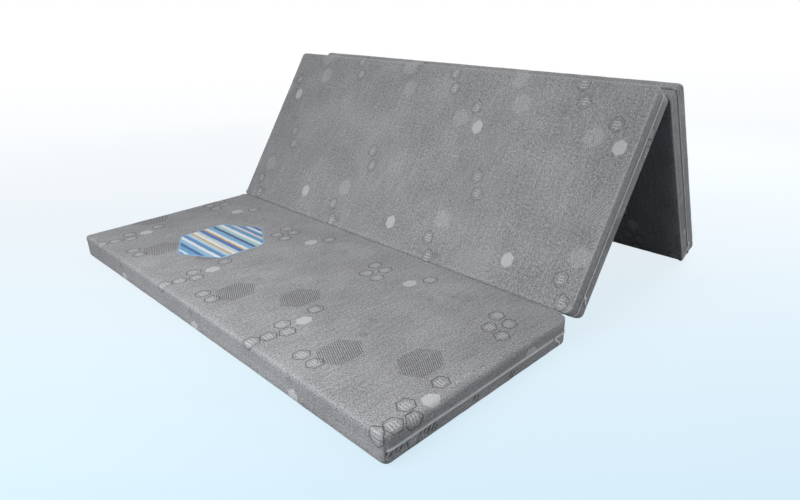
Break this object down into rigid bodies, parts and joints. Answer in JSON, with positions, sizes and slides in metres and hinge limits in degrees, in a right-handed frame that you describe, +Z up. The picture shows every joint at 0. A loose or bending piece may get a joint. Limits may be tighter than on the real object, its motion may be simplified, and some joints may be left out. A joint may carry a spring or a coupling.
{
  "type": "folding mattress",
  "caption": "Tri-fold foam mattress in a grey zipped knit cover, folded into a floor seat with an A-frame backrest.",
  "frame": {"origin": "middle of the underside of the slab that lies flat, on the floor", "axes": "+X along the folds towards the zipped ends, +Y from the flat slab's front edge to the backrest, +Z up"},
  "size_m": [1.6064, 1.4709, 0.6312],
  "materials": {
    "knit_cover": "matte",
    "foam": "matte",
    "zip_tape": "matte",
    "zip_coil": "satin",
    "slider_metal": "satin",
    "pull_webbing": "matte",
    "fold_fabric": "matte",
    "woven_patch": "satin"
  },
  "bodies": {
    "seat_slab": {"seat_foam_core": "foam", "seat_cover_upper": "knit_cover", "seat_cover_lower": "knit_cover", "seat_zip_tape_upper": "zip_tape", "seat_zip_tape_lower": "zip_tape", "seat_zip_coil_upper": "zip_coil", "seat_zip_coil_lower": "zip_coil", "fold_web_front": "fold_fabric", "seat_woven_patch": "woven_patch"},
    "seat_slider": {"seat_zip_slider": "slider_metal"},
    "seat_pull": {"seat_zip_pull": "pull_webbing"},
    "back_slab": {"back_foam_core": "foam", "back_cover_upper": "knit_cover", "back_cover_lower": "knit_cover", "back_zip_tape_upper": "zip_tape", "back_zip_tape_lower": "zip_tape", "back_zip_coil_upper": "zip_coil", "back_zip_coil_lower": "zip_coil", "fold_web_rear": "fold_fabric"},
    "back_slider": {"back_zip_slider": "slider_metal"},
    "back_pull": {"back_zip_pull": "pull_webbing"},
    "rear_slab": {"rear_foam_core": "foam", "rear_cover_upper": "knit_cover", "rear_cover_lower": "knit_cover", "rear_zip_tape_upper": "zip_tape", "rear_zip_tape_lower": "zip_tape", "rear_zip_coil_upper": "zip_coil", "rear_zip_coil_lower": "zip_coil"},
    "rear_slider": {"rear_zip_slider": "slider_metal"},
    "rear_pull": {"rear_zip_pull": "pull_webbing"}
  },
  "joints": [
    {"name": "front_fold", "type": "hinge", "parent": "seat_slab", "child": "back_slab", "pos_m": [0, 0.33383, 0.0862], "axis": [1, 0, 0], "range_deg": [-56.2, 123.8], "deforming": ["fold_web_front"]},
    {"name": "rear_fold", "type": "hinge", "parent": "back_slab", "child": "rear_slab", "pos_m": [0, 0.7773, 0.59279], "axis": [1, 0, 0], "range_deg": [-59.7, 120.2], "deforming": ["fold_web_rear"]},
    {"name": "seat_zip_travel", "type": "slide", "parent": "seat_slab", "child": "seat_slider", "axis": [0, 1, 0], "range_m": [-0.574, 0.033]},
    {"name": "seat_pull_swing", "type": "hinge", "parent": "seat_slider", "child": "seat_pull", "pos_m": [0.8043, 0.27233, 0.042], "axis": [0, -1, 0], "range_deg": [-2, 175]},
    {"name": "back_zip_travel", "type": "slide", "parent": "back_slab", "child": "back_slider", "axis": [0, 0.5563, 0.831], "range_m": [-0.033, 0.574]},
    {"name": "back_pull_swing", "type": "hinge", "parent": "back_slider", "child": "back_pull", "pos_m": [0.8043, 0.40477, 0.11272], "axis": [0, -0.5563, -0.831], "range_deg": [-2, 175]},
    {"name": "rear_zip_travel", "type": "slide", "parent": "rear_slab", "child": "rear_slider", "axis": [0, 0.4374, -0.8993], "range_m": [-0.574, 0.033]},
    {"name": "rear_pull_swing", "type": "hinge", "parent": "rear_slider", "child": "rear_pull", "pos_m": [0.8043, 1.08064, 0.06627], "axis": [0, -0.4374, 0.8993], "range_deg": [-2, 175]}
  ]
}
